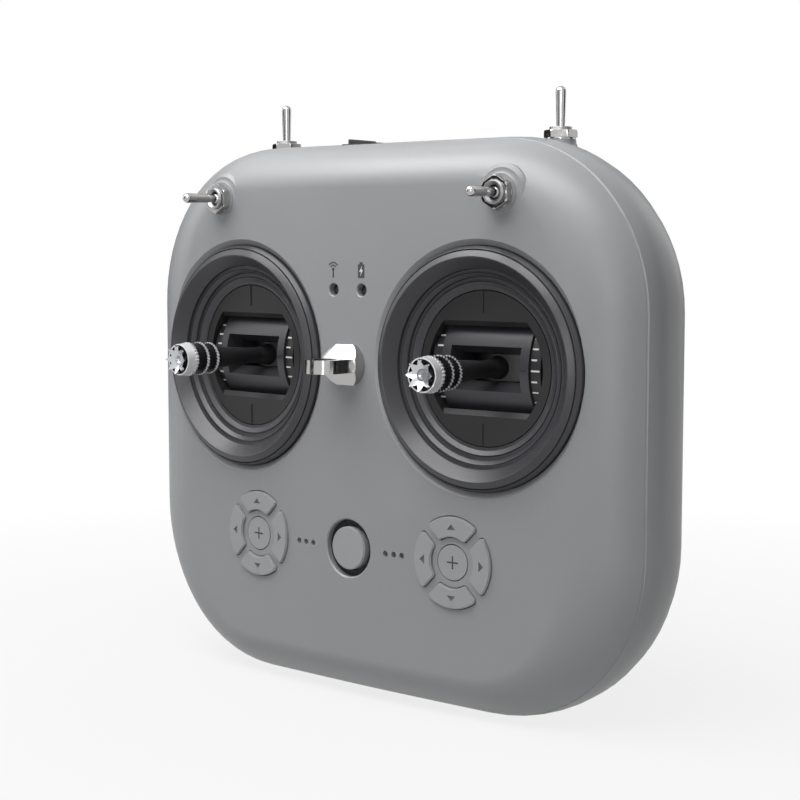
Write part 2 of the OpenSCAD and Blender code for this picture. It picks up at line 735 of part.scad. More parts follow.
// Lower half of the stick end: a dark sleeve, two thin toothed rings and the wide collar
module stick_collar(side) color(chrome_c) on_axis(side) difference() {
    union() {
        bar(sleeve_r, sleeve_s, collar_s + 1);
        for (k = [0, 1]) knurl(ring_r[k], ring_s[k] - ring_l / 2, ring_s[k] + ring_l / 2,
            collar_teeth, tooth_h);
        knurl(collar_r, collar_s, collar_s + tooth_l, collar_teeth, tooth_h);
        translate([0, 0, collar_s + tooth_l]) cylinder(r1 = collar_r - tooth_h / 2,
            r2 = collar_front_r, h = collar_l - tooth_l, $fn = round_fn);
    }
    bar(stick_r, sleeve_s - 1, stick_l);
    // hollow front of the collar, in which the crown stands
    bar(collar_front_r - collar_wall, crown_s, stick_l);
}
tooth_h = 0.4;
module left_stick_collar() { stick_collar(-1); }
module right_stick_collar() { stick_collar(1); }

// Crown of the stick end: a star of pointed petals round a stepped hollow
hub_r = 2.5;
hub_t = 1.6;
cup_r = 1.6;
cup_t = 1.7;
socket_r = 1.1;
petal_t = 0.25;
module stick_tip(side) color(chrome_c) on_axis(side) {
    difference() {
        union() {
            bar(hub_r, crown_s, crown_s + hub_t);
            intersection() {
                translate([0, 0, crown_s]) linear_extrude(stick_l - crown_s)
                    polygon([for (k = [0:2 * tip_teeth - 1])
                        let(a = 180 * k / tip_teeth, q = k % 2 == 0 ? tip_r : hub_r + 0.1)
                        [q * cos(a), q * sin(a)]]);
                // the petals' undersides slope up to their points
                translate([0, 0, crown_s]) cylinder(r1 = hub_r, r2 = tip_r + 0.3,
                    h = stick_l - petal_t - crown_s, $fn = round_fn);
            }
        }
        translate([0, 0, stick_l - cup_t]) cylinder(r1 = cup_r, r2 = tip_r + 0.15,
            h = cup_t + eps, $fn = round_fn);
        bar(socket_r, crown_s + 0.4, stick_l - cup_t + 1, small_fn);
    }
}
module left_stick_tip() { stick_tip(-1); }
module right_stick_tip() { stick_tip(1); }

// Sensor board on the outer cheek of each gimbal
sensor_w = 13;
sensor_t = 1.2;
sensor_chip_w = 4;
module gimbal_sensor(side) color(board_c) on_axis(side)
    translate([side * (drum_l / 2 + cheek_gap + cheek_t), 0, 0]) rotate([0, 90 * side, 0]) {
        block(sensor_w, sensor_w, 0, sensor_t);
        block(sensor_chip_w, sensor_chip_w, sensor_t, 2 * sensor_t);
    }
module left_gimbal_sensor() { gimbal_sensor(-1); }
module right_gimbal_sensor() { gimbal_sensor(1); }

// Centring springs, hung between pegs on the back of each frame; the throttle axis has none
spring_wire = 0.35;
spring_r = 1.6;
spring_coils = 10;
module spring() color(steel_c) {
    coil_l = spring_coils * 2 * spring_wire;
    rotate([90, 0, 0]) rotate_extrude($fn = small_fn) difference() {
        union() {
            translate([spring_r - 0.2, -coil_l / 2]) square([0.2, coil_l]);
            for (k = [0:spring_coils - 1])
                translate([spring_r, -coil_l / 2 + (2 * k + 1) * spring_wire])
                    circle(r = spring_wire, $fn = 6);
        }
        translate([-spring_r, -coil_l]) square([spring_r, 2 * coil_l]);
    }
    for (s = [-1, 1]) {
        translate([0, s * (coil_l / 2 + spring_peg_z - 1.6) / 2, 0]) rotate([90, 0, 0])
            cylinder(r = spring_wire, h = spring_peg_z - 1.6 - coil_l / 2 + 1, center = true,
                $fn = small_fn);
        translate([0, s * spring_peg_z, 0]) tube(1.8, 1.1, -spring_wire, spring_wire);
        translate([0, s * (coil_l / 2 - 0.2), 0]) rotate([90, 0, 0])
            cylinder(r = spring_r, h = 0.5, center = true, $fn = small_fn);
    }
}
module gimbal_springs() {
    back_s = axis_d + frame_back_h;
    for (g = [[-1, -1], [1, -1], [1, 1]]) on_axis(g[0])
        translate([g[1] * spring_x, 0, back_s - 2.6]) spring();
}

// Screw with a round head, its head downwards at height 0 and its shank upwards
module screw(shank_l, shank_r = screw_r - 0.25) {
    bar(head_r, -head_h, 0, small_fn);
    bar(shank_r, -0.5, shank_l, small_fn);
}
module gimbal_screws() color(steel_c) for (side = [-1, 1]) on_gimbal(side)
    four(frame_ear_r) translate([0, 0, frame_back_h]) screw(6.5);

// ---- toggle switches ----------------------------------------------------------------------
// Frame of a switch: +Z along its bush, origin on the pad that carries the washer
module front_switch_frame(side) {
    on_face(side * front_switch_x, front_switch_z) translate([0, 0, pad_h]) children();
}
module top_switch_frame(side) {
    translate([side * top_switch_x, top_switch_y, top_pad_z]) children();
}
bush_top = washer_t + nut_t + bush_end_l;

module switch_base(back) color(steel_c) difference() {
    union() {
        bar(bush_r, back - 0.5, bush_top, small_fn);
        block(switch_body[0], switch_body[1], back - switch_body[2], back);
        for (y = [-4.5, 0, 4.5]) translate([0, y, 0])
            block(1, 0.8, back - switch_body[2] - 3, back - switch_body[2] + 1);
    }
    bar(switch_bore_r, bush_top - lever_pivot - lever_tail - 0.6, bush_top + 1, small_fn);
    translate([0, 0, bush_top - switch_mouth_l]) cylinder(r1 = switch_bore_r,
        r2 = switch_mouth_r, h = switch_mouth_l + eps, $fn = small_fn);
}
module front_left_switch() { front_switch_frame(-1) switch_base(front_switch_back); }
module front_right_switch() { front_switch_frame(1) switch_base(front_switch_back); }
module top_left_switch() { top_switch_frame(-1) switch_base(top_switch_back); }
module top_right_switch() { top_switch_frame(1) switch_base(top_switch_back); }

// Bat lever, wider towards its round tip, with a ball at its pivot inside the bush
module switch_lever() color(chrome_c) translate([0, 0, bush_top - lever_pivot]) {
    sphere(r = switch_bore_r - run_gap, $fn = small_fn);
    bar(0.9, -lever_tail, 0, small_fn);
    cylinder(r1 = lever_base_r, r2 = lever_tip_r, h = lever_l + lever_pivot - lever_tip_r,
        $fn = small_fn);
    translate([0, 0, lever_l + lever_pivot - lever_tip_r]) sphere(r = lever_tip_r, $fn = small_fn);
}
module front_left_lever() { front_switch_frame(-1) switch_lever(); }
module front_right_lever() { front_switch_frame(1) switch_lever(); }
module top_left_lever() { top_switch_frame(-1) switch_lever(); }
module top_right_lever() { top_switch_frame(1) switch_lever(); }

module each_switch() {
    for (side = [-1, 1]) {
        front_switch_frame(side) children();
        top_switch_frame(side) children();
    }
}
module switch_nuts() color(chrome_c) each_switch() rotate([0, 0, 30]) difference() {
    intersection() {
        hex_prism(switch_nut_af, washer_t, washer_t + nut_t);
        translate([0, 0, washer_t]) cylinder(r1 = switch_nut_af * 0.68, r2 = switch_nut_af * 0.53,
            h = nut_t + 0.2, $fn = round_fn);
    }
    bar(bush_r + run_gap, 0, washer_t + nut_t + 1, small_fn);
}
module switch_washers() color(chrome_c) each_switch()
    tube(washer_r, bush_r + run_gap, 0, washer_t);

// ---- trims and power button ---------------------------------------------------------------
// Trim key: a raised island with a retaining flange and a post behind it
key_back = -wall - 0.2;
key_edge_h = 0.3;
key_edge_w = 0.25;
post_r = 1.2;
post_end = -5.2;
key_mid_r = (trim_r + key_inner_r) / 2;
arrow_mid_r = 9.3;
arrow_half_w = 1.35;
arrow_l = 1.5;
arrow_d = 0.3;
module trim_key(side, turn) color(shell_c) on_face(side * trim_x, trim_z) difference() {
    union() {
        translate([0, 0, key_back]) linear_extrude(key_h - key_back - key_edge_h)
            key_outline(turn, 0);
        translate([0, 0, key_h - key_edge_h - eps]) linear_extrude(key_edge_h)
            key_outline(turn, -key_edge_w);
        translate([0, 0, key_back - key_flange_t]) linear_extrude(key_flange_t + eps)
            key_outline(turn, key_flange);
        rotate(turn) translate([0, key_mid_r, 0]) bar(post_r, post_end, key_back, small_fn);
    }
    // engraved arrow that points away from the middle of the pad
    rotate(turn) translate([0, arrow_mid_r, key_h - arrow_d]) linear_extrude(1)
        polygon([[-arrow_half_w, -arrow_l / 2], [arrow_half_w, -arrow_l / 2], [0, arrow_l / 2]]);
}
module left_trim_up() { trim_key(-1, 0); }
module left_trim_left() { trim_key(-1, 90); }
module left_trim_down() { trim_key(-1, 180); }
module left_trim_right() { trim_key(-1, 270); }
module right_trim_up() { trim_key(1, 0); }
module right_trim_left() { trim_key(1, 90); }
module right_trim_down() { trim_key(1, 180); }
module right_trim_right() { trim_key(1, 270); }

cap_h = 0.1;
cap_flange = 0.8;
cap_post_r = 1.5;
module trim_cap(side) color(shell_c) on_face(side * trim_x, trim_z) {
    bar(cap_r, -wall - 0.5, cap_h);
    bar(cap_r + cap_flange, -wall - 1, -wall - 0.1);
    bar(cap_post_r, -board_d + face_depth(trim_x) + 0.1, -wall - 0.9, small_fn);
}
module left_trim_cap() { trim_cap(-1); }
module right_trim_cap() { trim_cap(1); }

// Snap switches on the main board: one behind each key and one behind the power button
module key_switches() color(dark_c) {
    for (side = [-1, 1]) for (k = [0:3]) behind(side * trim_x, trim_z, board_y)
        rotate(90 * k) translate([0, key_mid_r, 0]) block(tact[0] - 1, tact[1] - 1, 0, tact[2]);
    behind(0, power_z, board_y) block(tact[0], tact[1], 0, tact[2]);
}

ring_h = -1.8;
button_flange = 0.9;
button_post_r = 2;
module power_button() color(shell_c) on_face(0, power_z) {
    bar(button_r - key_edge_w, -key_edge_h, 0);
    bar(button_r, -wall - key_travel, -key_edge_h + eps);
    bar(button_r + button_flange, -wall - key_travel - key_flange_t, -wall - key_travel + eps);
    bar(button_post_r, -board_d + tact[2] + key_travel + 0.2, -wall - key_travel, small_fn);
}
// Dark ring that lines the gap round the power button
module power_ring() color(dark_c) on_face(0, power_z) {
    tube(power_r - 0.05, button_r + key_gap, -wall, ring_h);
    tube(power_r + 1.2, button_r + key_gap, -wall - 0.7, -wall + eps);
}

// ---- lamps, hook, port --------------------------------------------------------------------
lamp_dome_h = -2.4;
module lamp(side) color(dark_c) on_lamp(side) {
    foot_h = lamp_board_h + face_depth(lamp_x);
    bar(lamp_r, foot_h, lamp_dome_h, small_fn);
    translate([0, 0, lamp_dome_h]) sphere(r = lamp_r, $fn = small_fn);
    bar(lamp_r + 0.3, foot_h, lamp_board_h + 1, small_fn);
}
module link_lamp() { lamp(-1); }
module battery_lamp() { lamp(1); }

// Lanyard hook: a round base with two flats, sloping faces that narrow it to a flat eye
hook_base_t = 1;
hook_flat = 5.45;
hook_slope = 0.72;
module lanyard_hook() color(chrome_c) on_face(0, hook_z) difference() {
    slope_end = hook_base_t + (hook_flat - eye_t / 2) * hook_slope;
    union() {
        intersection() {
            bar(hook_base_r, 0, slope_end);
            // seen from the side, the body narrows to the eye's thickness
            rotate([90, 0, 90]) linear_extrude(2 * hook_base_r, center = true) polygon([
                [-hook_flat, 0], [hook_flat, 0], [hook_flat, hook_base_t], [eye_t / 2, slope_end],
                [-eye_t / 2, slope_end], [-hook_flat, hook_base_t]]);
        }
        block(2 * eye_r, eye_t, hook_base_t, eye_d);
        translate([0, 0, eye_d]) rotate([90, 0, 0])
            cylinder(r = eye_r, h = eye_t, center = true, $fn = round_fn);
        bar(hook_stem_r, -wall - 3, 0.5, small_fn);
    }
    translate([0, 0, eye_d]) rotate([90, 0, 0])
        cylinder(r = eye_hole_r, h = eye_t + 2, center = true, $fn = round_fn);
}
module hook_nut() color(steel_c) on_face(0, hook_z) difference() {
    hex_prism(hook_nut_af, -wall - hook_nut_t, -wall);
    bar(hook_stem_r + run_gap, -wall - 4, 0, small_fn);
}

// Rubber cover of the charging port, flush but for a low finger tab
module port_cover() color(dark_c) translate([-port_x, 0, body_h]) {
    block(port_w, port_l, -port_t, 0);
    // wedge-shaped tab, highest at its free end
    translate([-port_w / 2 + 0.6, 0, 0]) rotate([90, 0, 0]) linear_extrude(5, center = true)
        polygon([[0, -0.2], [6.5, -0.2], [6.5, 0.5], [5.9, 0.9], [0, 1.5]]);
}
module charge_socket() color(steel_c) translate([-port_x, 0, body_h - port_t - 0.6]) {
    difference() {
        block(socket_w, socket_l - 0.1, -7.5, 0);
        block(socket_w - 1, socket_l - 1, -6.5, 1);
    }
    translate([0, 3, 0]) block(12, board_t, -12, -7.5);
    block(11, 7, -8.5, -7.5);
}

// ---- electronics --------------------------------------------------------------------------
board_z = 38;
module main_board() color(board_c) difference() {
    union() {
        translate([-board_w / 2, board_y, board_z - board_h / 2]) cube([board_w, board_t, board_h]);
        // the larger chips on the back
        for (c = [[-30, 30, 12], [8, 34, 9], [28, 46, 7]])
            translate([c[0] - c[2] / 2, board_y + board_t, c[1] - c[2] / 2]) cube([c[2], 1.2, c[2]]);
    }
    for (p = board_post_at) behind(p[0], p[1], board_y + board_t) bar(screw_r, -1, board_t + 1, small_fn);
}
module board_screws() color(steel_c) for (p = board_post_at)
    behind(p[0], p[1], board_y + board_t) screw(5);
module lamp_board() color(board_c) on_face(0, lamp_z)
    block(2 * lamp_post_x + 4, 9, lamp_board_h - board_t, lamp_board_h);
module radio_module() {
    color(board_c) behind(0, radio_z, radio_y) block(2 * radio_post_x + 6, 14, -1, 0);
    color(steel_c) behind(4, radio_z, radio_y) block(18, 12, -3.4, -0.9);
}
module buzzer() color(dark_c) behind(15.9, power_z, board_y) {
    bar(4.5, 0, 4.5, small_fn);
    bar(1, 4.5, 5, small_fn);
}
module battery() color([0.20, 0.30, 0.55])
    translate([-battery_w / 2, battery_back_d - front_d - battery_t, battery_z])
        cube([battery_w, battery_t, battery_h]);
module case_screws() color(steel_c) for (p = case_screw_at)
    behind(p[0], p[1], recess_d - front_d) screw(recess_d - seam_d + 5);

// ---- assembly ----------------------------------------------------------------------------
front_shell();
rear_shell();
left_bezel();
right_bezel();
left_faceplate();
right_faceplate();
left_gimbal_frame();
right_gimbal_frame();
left_drum();
right_drum();
left_stick();
right_stick();
left_stick_collar();
right_stick_collar();
left_stick_tip();
right_stick_tip();
left_gimbal_sensor();
right_gimbal_sensor();
gimbal_springs();
gimbal_screws();
front_left_switch();
front_right_switch();
top_left_switch();
top_right_switch();
front_left_lever();
front_right_lever();
top_left_lever();
top_right_lever();
switch_nuts();
switch_washers();
left_trim_up();
left_trim_right();
left_trim_down();
left_trim_left();
right_trim_up();
right_trim_right();
right_trim_down();
right_trim_left();
left_trim_cap();
right_trim_cap();
key_switches();
power_button();
power_ring();
link_lamp();
battery_lamp();
lanyard_hook();
hook_nut();
port_cover();
charge_socket();
main_board();
lamp_board();
radio_module();
buzzer();
battery();
case_screws();
board_screws();
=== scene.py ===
# %% [markdown]
# # A handheld radio transmitter
# This lesson finishes a radio transmitter for remote control models: a moulded two-part shell,
# two stick gimbals, four metal toggle switches, two trim pads and a chrome lanyard hook.
# The construction comes from a CAD frame, in metres, with +Z up and the sticks towards -Y.
# Here each surface gets its finish, and the small parts that the CAD leaves plain are modelled.

# %% Load the frame
import json
import math
import bpy
from mathutils import Matrix, Vector

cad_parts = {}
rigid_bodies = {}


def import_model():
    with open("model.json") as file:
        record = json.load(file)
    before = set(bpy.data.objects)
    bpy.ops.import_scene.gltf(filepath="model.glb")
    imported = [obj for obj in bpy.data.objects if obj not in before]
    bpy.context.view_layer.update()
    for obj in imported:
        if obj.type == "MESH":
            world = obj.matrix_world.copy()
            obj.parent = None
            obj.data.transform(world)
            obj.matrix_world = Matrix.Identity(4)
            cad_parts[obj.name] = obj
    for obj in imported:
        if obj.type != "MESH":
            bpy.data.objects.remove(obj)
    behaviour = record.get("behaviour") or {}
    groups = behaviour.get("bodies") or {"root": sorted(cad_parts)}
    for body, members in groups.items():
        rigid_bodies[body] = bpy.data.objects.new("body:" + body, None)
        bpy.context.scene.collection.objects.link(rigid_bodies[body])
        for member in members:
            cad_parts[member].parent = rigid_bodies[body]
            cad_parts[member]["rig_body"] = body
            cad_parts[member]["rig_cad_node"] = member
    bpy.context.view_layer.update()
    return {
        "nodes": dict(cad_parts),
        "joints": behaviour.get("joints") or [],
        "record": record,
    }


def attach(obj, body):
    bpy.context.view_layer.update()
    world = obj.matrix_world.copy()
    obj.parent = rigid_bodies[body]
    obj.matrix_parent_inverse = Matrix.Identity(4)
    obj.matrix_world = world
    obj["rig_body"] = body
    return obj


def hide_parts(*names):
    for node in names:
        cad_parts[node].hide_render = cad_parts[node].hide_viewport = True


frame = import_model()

nodes = frame["nodes"]
joints = {joint["name"]: joint for joint in frame["joints"]}
print("nodes:", len(nodes), "joints:", len(joints))

# %% [markdown]
# ## Small helpers
# All sizes are written in millimetres, as on a drawing, and MM turns them into metres.
# Colours are written as sRGB hex values, the way a paint chart gives them. Blender's shaders
# work in linear light, so one function turns the one into the other. A second function adds a
# shader node with its settings and its links in one line, which keeps each material short.
# Operators act on whatever is selected, so a third one deselects everything first.

# %% Units, colours and shader nodes
MM = 0.001


def linear(hex_colour):
    """The linear RGBA colour of an sRGB hex value such as #8d8e90."""
    shares = [int(hex_colour[i:i + 2], 16) / 255 for i in (1, 3, 5)]
    return [s / 12.92 if s <= 0.04045 else ((s + 0.055) / 1.055) ** 2.4 for s in shares] + [1.0]


def add_node(tree, kind, inputs=None, **settings):
    """Adds a shader node, sets its settings, and links or sets its inputs by name or number."""
    node = tree.nodes.new(kind)
    for name, value in settings.items():
        setattr(node, name, value)
    for name, value in (inputs or {}).items():
        if isinstance(value, bpy.types.NodeSocket):
            tree.links.new(value, node.inputs[name])
        else:
            node.inputs[name].default_value = value
    return node


def new_finish(name, colour, roughness, metallic=0.0, **sockets):
    """A new material with one Principled shader: its tree, that shader and the material."""
    finish = bpy.data.materials.new(name)
    finish.use_nodes = True
    finish.diffuse_color = linear(colour)
    shader = finish.node_tree.nodes["Principled BSDF"]
    shader.inputs["Base Color"].default_value = linear(colour)
    shader.inputs["Roughness"].default_value = roughness
    shader.inputs["Metallic"].default_value = metallic
    for socket, value in sockets.items():
        shader.inputs[socket.replace("_", " ")].default_value = value
    return finish, finish.node_tree, shader


def deselect():
    """Leaves nothing selected."""
    bpy.ops.object.select_all(action="DESELECT")


def per_metre(size):
    """The scale of a pattern on Object coordinates whose grains are this many millimetres."""
    return 1 / (size * MM)


def add_grain(tree, shader, size, depth, roughness_range=None, detail=3.0):
    """Gives a surface a fine grain of that size and depth in millimetres, and an uneven gloss."""
    place = add_node(tree, "ShaderNodeTexCoord")
    grain = add_node(tree, "ShaderNodeTexNoise",
                     {"Vector": place.outputs["Object"], "Scale": per_metre(size),
                      "Detail": detail})
    bump = add_node(tree, "ShaderNodeBump",
                    {"Height": grain.outputs["Fac"], "Distance": depth * MM, "Strength": 1.0})
    tree.links.new(bump.outputs["Normal"], shader.inputs["Normal"])
    if roughness_range:
        low, high = roughness_range
        gloss = add_node(tree, "ShaderNodeMapRange",
                         {"Value": grain.outputs["Fac"], "From Min": 0.3, "From Max": 0.7,
                          "To Min": low, "To Max": high})
        tree.links.new(gloss.outputs["Result"], shader.inputs["Roughness"])
    return place


def add_tone(tree, shader, place, colours, size):
    """Lets a colour drift between two close tones in clouds of that many millimetres."""
    clouds = add_node(tree, "ShaderNodeTexNoise",
                      {"Vector": place.outputs["Object"], "Scale": per_metre(size), "Detail": 2.0})
    tone = add_node(tree, "ShaderNodeMix",
                    {"Factor": clouds.outputs["Fac"], 6: linear(colours[0]), 7: linear(colours[1])},
                    data_type="RGBA")
    tree.links.new(tone.outputs[2], shader.inputs["Base Color"])


# %% [markdown]
# ## Camera
# The camera stands to the front and right of the transmitter and looks slightly down on it.
# A long lens keeps the perspective calm, so the round bezels stay close to true ellipses.

# %% Place the camera
CAMERA_PLACE = (307.755, -359.29, 123.05)
CAMERA_TURN = 40.45
CAMERA_DOWN = 5.21
LENS = 77.36
SENSOR_WIDTH = 36
NEAR_CLIP = 0.01

camera_data = bpy.data.cameras.new("Camera")
camera_data.lens = LENS
camera_data.sensor_width = SENSOR_WIDTH
camera_data.clip_start = NEAR_CLIP
camera = bpy.data.objects.new("Camera", camera_data)
camera.location = [v * MM for v in CAMERA_PLACE]
camera.rotation_euler = (math.radians(90 - CAMERA_DOWN), 0, math.radians(CAMERA_TURN))
bpy.context.scene.collection.objects.link(camera)
bpy.context.scene.camera = camera

# %% [markdown]
# ## Studio
# A product like this is lit by one large soft box, high in front. It makes the upper edge bright
# and lets the face darken towards its foot. A tall, narrow box in front draws a soft band along
# the rounding on the right. A box far out on the left hardly reaches the face, but it lights the
# thin rounded edges that look that way. A last box keeps the back from going black.


# %% Lamps
def soft_box(name, place, target, size, power):
    """A rectangular area lamp at a place in metres, turned to face a target."""
    data = bpy.data.lights.new(name, "AREA")
    data.shape = "RECTANGLE"
    data.size, data.size_y = size
    data.energy = power
    lamp = bpy.data.objects.new(name, data)
    lamp.location = place
    lamp.rotation_euler = (Vector(target) - Vector(place)).to_track_quat("-Z", "Y").to_euler()
    bpy.context.scene.collection.objects.link(lamp)
    print("lamp:", name, power, "W")
    return lamp


BODY_MIDDLE = (0, 0, 0.08)
soft_box("top softbox", (-0.04, -0.18, 0.46), (0, -0.02, 0.08), (0.6, 0.25), 3.0)
soft_box("front softbox", (0.76, -1.05, 0.12), BODY_MIDDLE, (0.16, 0.9), 4.3)
soft_box("left fill", (-1.0, -0.38, 0.5), BODY_MIDDLE, (0.4, 0.6), 1.5)
soft_box("back fill", (-0.25, 1.2, 0.5), BODY_MIDDLE, (0.9, 0.6), 2.2)

# %% [markdown]
# ## White sweep
# The transmitter stands on a sheet of white card that runs out into a white room. The camera,
# and the metal and clear parts that mirror the room, see it as plain white. The light that the
# room throws on the object is much weaker, so the shell keeps its own grey. Close to the object
# the card also shows how much light really falls on it, and so it keeps the object's shadow.


# %% Rays that look at the room, floor and world
def seen_directly(tree):
    """1 for a ray that looks at the room straight, in a mirror or through glass, else 0."""
    path = add_node(tree, "ShaderNodeLightPath")
    mirrored = add_node(tree, "ShaderNodeMath",
                        {0: path.outputs["Is Camera Ray"], 1: path.outputs["Is Glossy Ray"]},
                        operation="MAXIMUM")
    return add_node(tree, "ShaderNodeMath",
                    {0: mirrored.outputs[0], 1: path.outputs["Is Transmission Ray"]},
                    operation="MAXIMUM").outputs[0]


FLOOR_SIZE = 6.0
SHADOW_REACH = 350 * MM
SHADOW_DEPTH = 0.2
deselect()
bpy.ops.mesh.primitive_plane_add(size=FLOOR_SIZE)
floor = bpy.context.object
floor.name = "floor"

card, tree, shader = new_finish("white card", "#b4b4b4", 0.9)
place = add_node(tree, "ShaderNodeTexCoord")
nearness = add_node(tree, "ShaderNodeMapping",
                    {"Vector": place.outputs["Object"], "Scale": [1 / SHADOW_REACH] * 3})
nearness = add_node(tree, "ShaderNodeTexGradient", {"Vector": nearness.outputs[0]},
                    gradient_type="SPHERICAL")
plain = add_node(tree, "ShaderNodeMath",
                 {0: nearness.outputs["Fac"], 1: -SHADOW_DEPTH, 2: 1.0},
                 operation="MULTIPLY_ADD")
glow_share = add_node(tree, "ShaderNodeMath", {0: seen_directly(tree), 1: plain.outputs[0]},
                      operation="MULTIPLY")
glow = add_node(tree, "ShaderNodeEmission", {"Color": linear("#ffffff"), "Strength": 1.0})
lit_card = add_node(tree, "ShaderNodeMixShader",
                    {0: glow_share.outputs[0], 1: shader.outputs[0], 2: glow.outputs[0]})
tree.links.new(lit_card.outputs[0], tree.nodes["Material Output"].inputs["Surface"])
floor.data.materials.append(card)

ROOM_LIGHT = 0.055
world = bpy.data.worlds.new("studio")
bpy.context.scene.world = world
world.use_nodes = True
tree = world.node_tree
tree.nodes.clear()
fill = add_node(tree, "ShaderNodeBackground", {"Color": linear("#ffffff"), "Strength": ROOM_LIGHT})
white = add_node(tree, "ShaderNodeBackground", {"Color": linear("#ffffff"), "Strength": 1.0})
sky = add_node(tree, "ShaderNodeMixShader",
               {0: seen_directly(tree), 1: fill.outputs[0], 2: white.outputs[0]})
add_node(tree, "ShaderNodeOutputWorld", {"Surface": sky.outputs[0]})
bpy.context.scene.view_settings.view_transform = "Standard"
print("floor and world are white; the room lights the object at", ROOM_LIGHT)

# %% [markdown]
# ## Dark flags
# Bright metal in an all-white room looks like white paint, because it has nothing dark to
# mirror. A studio photographer stands black cards, called flags, beside the set. These are seen
# in reflections only, so they draw dark lines in the chrome and take the milky veil off the
# black plastics, but they throw no shadow and the light on the shell stays as it is.


# %% Black cards that only reflections see
def flag(name, place, width, height):
    """A black card standing at a place in metres, facing the transmitter."""
    deselect()
    bpy.ops.mesh.primitive_plane_add(size=1)
    card = bpy.context.object
    card.name = name
    card.scale = (width, height, 1)
    card.location = place
    card.rotation_euler = (Vector(BODY_MIDDLE) - Vector(place)).to_track_quat("Z", "Y").to_euler()
    card.visible_camera = card.visible_diffuse = card.visible_shadow = False
    card.visible_transmission = False
    card.data.materials.append(black_card)
    print("flag:", name)


black_card, tree, shader = new_finish("black card", "#030303", 0.9)
flag("left flag", (-0.55, -0.75, 0.12), 0.5, 0.9)
flag("right flag", (0.6, 0.4, 0.12), 0.4, 0.9)
flag("side flag", (-0.85, 0.22, 0.12), 0.5, 0.9)
flag("rear flag", (-0.5, 0.65, 0.15), 1.0, 0.9)

# %% [markdown]
# ## Moulded grey ABS
# The shell, the trim keys and the power button are moulded ABS. The mould is finely spark
# eroded, which prints a grain of about a third of a millimetre and makes the gloss soft and
# broad. ABS has an index of refraction near 1.53. The keys and the button come from their own
# mould and are a shade lighter.

# %% Shell finish
shell_abs, tree, shader = new_finish("grey moulded ABS", "#8f9092", 0.42, IOR=1.53)
place = add_grain(tree, shader, 0.35, 0.002, (0.38, 0.46))
add_tone(tree, shader, place, ("#8d8e90", "#919294"), 25.0)

key_abs, tree, shader = new_finish("light grey moulded ABS", "#98999b", 0.4, IOR=1.53)
add_grain(tree, shader, 0.35, 0.002, (0.36, 0.44))

# %% [markdown]
# ## Charcoal and black mouldings
# Bezels and drums are a darker, smoother moulding, so their steps catch narrow lights.
# Faceplates, gimbal frames and stick shafts are black acetal, which is a little waxy.

# %% Dark plastics
bezel_abs, tree, shader = new_finish("charcoal moulded ABS", "#323236", 0.38, IOR=1.53)
add_grain(tree, shader, 0.3, 0.001, (0.34, 0.42))

black_acetal, tree, shader = new_finish("black acetal", "#1c1c1e", 0.42, IOR=1.48)
add_grain(tree, shader, 0.4, 0.004, (0.38, 0.48))

# %% [markdown]
# ## Metals
# Toggle levers, nuts and the lanyard hook are plated with nickel and chrome: bright, with
# sharp reflections and very fine polishing marks. The stick ends are turned aluminium, whose
# lathe leaves rings that are finer than a tenth of a millimetre. They are drawn at 0.2 mm,
# because finer ones would not show. Screws, bushes and springs are plain zinc-plated steel.

# %% Metal finishes
chrome_plate, tree, shader = new_finish("chrome plate", "#b0afae", 0.12, metallic=1.0)
add_grain(tree, shader, 0.8, 0.0003, (0.08, 0.18))

turned_aluminium, tree, shader = new_finish("turned aluminium", "#c4c5c8", 0.2, metallic=1.0)
add_grain(tree, shader, 0.2, 0.0001, (0.17, 0.25))

satin_silver, tree, shader = new_finish("satin clear-anodised aluminium", "#ececee", 0.36,
                                        metallic=0.55)
add_grain(tree, shader, 0.2, 0.0002, (0.32, 0.4))

black_anodised, tree, shader = new_finish("black anodised aluminium", "#232325", 0.34,
                                          metallic=0.6)
add_grain(tree, shader, 0.2, 0.0005, (0.28, 0.4))

zinc_steel, tree, shader = new_finish("zinc plated steel", "#a3a4a6", 0.35, metallic=1.0)
add_grain(tree, shader, 0.4, 0.003, (0.28, 0.42))

# %% [markdown]
# ## Inner finishes
# Circuit boards are glass-fibre laminate under green solder mask, the battery pack is
# shrink-wrapped in blue film, the lamps are smoked clear plastic and the port cover is rubber.

# %% Boards, wrap, lamps and rubber
solder_mask, tree, shader = new_finish("green solder mask", "#1c5a35", 0.35, IOR=1.5)
add_grain(tree, shader, 0.6, 0.004, (0.3, 0.45))

shrink_wrap, tree, shader = new_finish("blue shrink wrap", "#2c4488", 0.3, IOR=1.5)
add_grain(tree, shader, 3.0, 0.03, (0.25, 0.4))

smoked_lamp, tree, shader = new_finish("smoked lamp plastic", "#080809", 0.1, IOR=1.5)
add_grain(tree, shader, 0.5, 0.001, (0.06, 0.14))

soft_rubber, tree, shader = new_finish("black rubber", "#232324", 0.7, IOR=1.52)
add_grain(tree, shader, 0.5, 0.01, (0.65, 0.8))

# %% [markdown]
# ## Printed marks and painted shade
# The scales beside the drums are pad printed: a soft silicone pad lays down a film of ink a
# few hundredths of a millimetre thick. Ink is a little rougher than the plastic under it and
# its edge is never quite even. The symbols over the lamps, the marks on the trim caps and the
# arrows in the trim keys are engraved. Their dark and grey plates are painted shade, standing
# in for the shade in those recesses. The ring round the power button is black, and it is made
# darker still as painted shade of the gap round the button.

# %% Inks and painted shade
white_ink, tree, shader = new_finish("white marking ink", "#d8d8d6", 0.6, IOR=1.5)
add_grain(tree, shader, 0.3, 0.003, (0.55, 0.7))

# Painted shade: a dark grey that stands in for the shade in engraved symbols and marks.
engraving_shade, tree, shader = new_finish("dark grey painted shade in recesses", "#3c3d40", 0.6, IOR=1.5)
add_grain(tree, shader, 0.3, 0.003, (0.55, 0.7))

